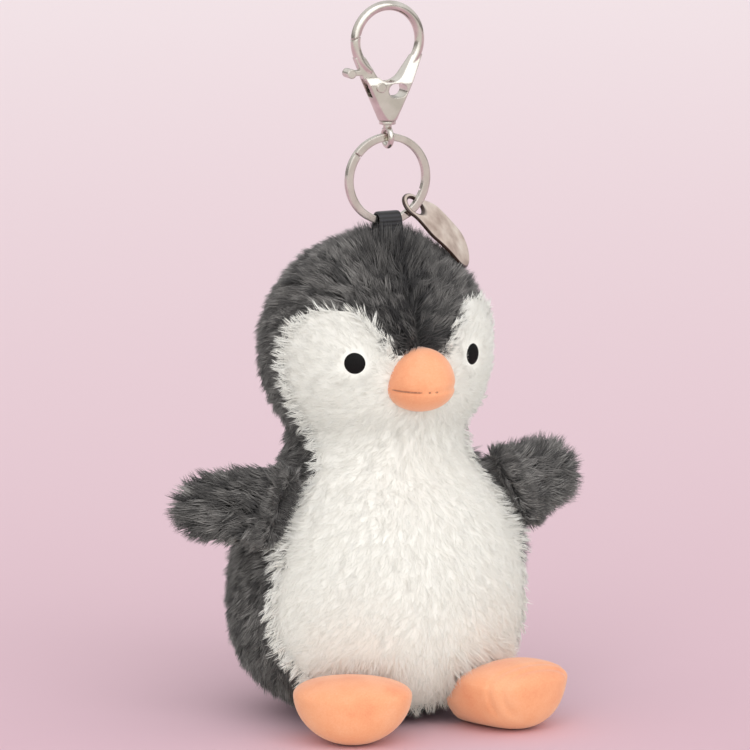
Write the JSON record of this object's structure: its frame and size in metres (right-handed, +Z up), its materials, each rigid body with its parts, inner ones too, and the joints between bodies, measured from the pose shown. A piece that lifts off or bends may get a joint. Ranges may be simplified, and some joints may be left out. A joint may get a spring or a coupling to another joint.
{
  "type": "plush penguin bag charm",
  "caption": "Small plush penguin with flippers, splayed feet and a sewn beak, hung by a ribbon loop from a split ring and a swivel lobster clasp.",
  "frame": {"origin": "centre of the flat seat under the body, on the plane of symmetry", "axes": "+Z up through the head to the clasp, -Y out of the face, +X to the penguin's left"},
  "size_m": [0.1184, 0.0895, 0.1979],
  "materials": {
    "dark_plush": "matte",
    "white_plush": "matte",
    "orange_cloth": "matte",
    "stuffing": "matte",
    "black_thread": "satin",
    "brown_thread": "satin",
    "black_ribbon": "satin",
    "taupe_leather": "satin",
    "nickel": "polished"
  },
  "bodies": {
    "torso": {"right_crown_panel": "dark_plush", "left_crown_panel": "dark_plush", "face_panel": "white_plush", "right_back_panel": "dark_plush", "left_back_panel": "dark_plush", "belly_panel": "white_plush", "body_stuffing": "stuffing", "beak_upper": "orange_cloth", "beak_lower": "orange_cloth", "beak_stuffing": "stuffing", "mouth_stitch": "brown_thread", "right_eye": "black_thread", "left_eye": "black_thread", "ribbon_loop": "black_ribbon", "ring_tag": "taupe_leather"},
    "right_flipper": {"right_flipper_front": "dark_plush", "right_flipper_back": "dark_plush", "right_flipper_stuffing": "stuffing"},
    "left_flipper": {"left_flipper_front": "dark_plush", "left_flipper_back": "dark_plush", "left_flipper_stuffing": "stuffing"},
    "right_foot": {"right_foot_upper": "orange_cloth", "right_foot_sole": "orange_cloth", "right_foot_stuffing": "stuffing"},
    "left_foot": {"left_foot_upper": "orange_cloth", "left_foot_sole": "orange_cloth", "left_foot_stuffing": "stuffing"},
    "ring": {"split_ring": "nickel"},
    "eye": {"swivel_eye": "nickel"},
    "clasp": {"clasp_body": "nickel", "gate_rivet": "nickel", "gate_spring": "nickel"},
    "gate": {"clasp_gate": "nickel"}
  },
  "joints": [
    {"name": "right_flipper_swing", "type": "hinge", "parent": "torso", "child": "right_flipper", "pos_m": [-0.03668, -0.01236, 0.06186], "axis": [0.4575, 0.1505, 0.8764], "range_deg": [-15, 45], "stiffness_Nm_per_rad": 0.03},
    {"name": "left_flipper_swing", "type": "hinge", "parent": "torso", "child": "left_flipper", "pos_m": [0.03668, -0.01236, 0.06186], "axis": [0.4575, -0.1505, -0.8764], "range_deg": [-15, 45], "stiffness_Nm_per_rad": 0.03},
    {"name": "right_foot_lift", "type": "hinge", "parent": "torso", "child": "right_foot", "pos_m": [-0.02075, -0.03017, 0.01735], "axis": [-0.9063, 0.4226, 0], "range_deg": [0, 25], "stiffness_Nm_per_rad": 0.05},
    {"name": "left_foot_lift", "type": "hinge", "parent": "torso", "child": "left_foot", "pos_m": [0.02075, -0.03017, 0.01735], "axis": [-0.9063, -0.4226, 0], "range_deg": [0, 25], "stiffness_Nm_per_rad": 0.05},
    {"name": "ring_swing", "type": "hinge", "parent": "torso", "child": "ring", "pos_m": [0, -0.008, 0.1375], "axis": [1, 0, 0], "range_deg": [-80, 80], "deforming": ["ring_tag"]},
    {"name": "eye_swing", "type": "hinge", "parent": "ring", "child": "eye", "pos_m": [0, -0.008, 0.1605], "axis": [1, 0, 0], "range_deg": [-40, 40]},
    {"name": "clasp_swivel", "type": "hinge", "parent": "eye", "child": "clasp", "pos_m": [0, -0.008, 0.1652], "axis": [0, 0, 1], "continuous": true},
    {"name": "gate_press", "type": "hinge", "parent": "clasp", "child": "gate", "pos_m": [-0.003, -0.008, 0.1745], "axis": [0, 1, 0], "range_deg": [0, 25], "stiffness_Nm_per_rad": 0.02, "deforming": ["gate_spring"]}
  ]
}
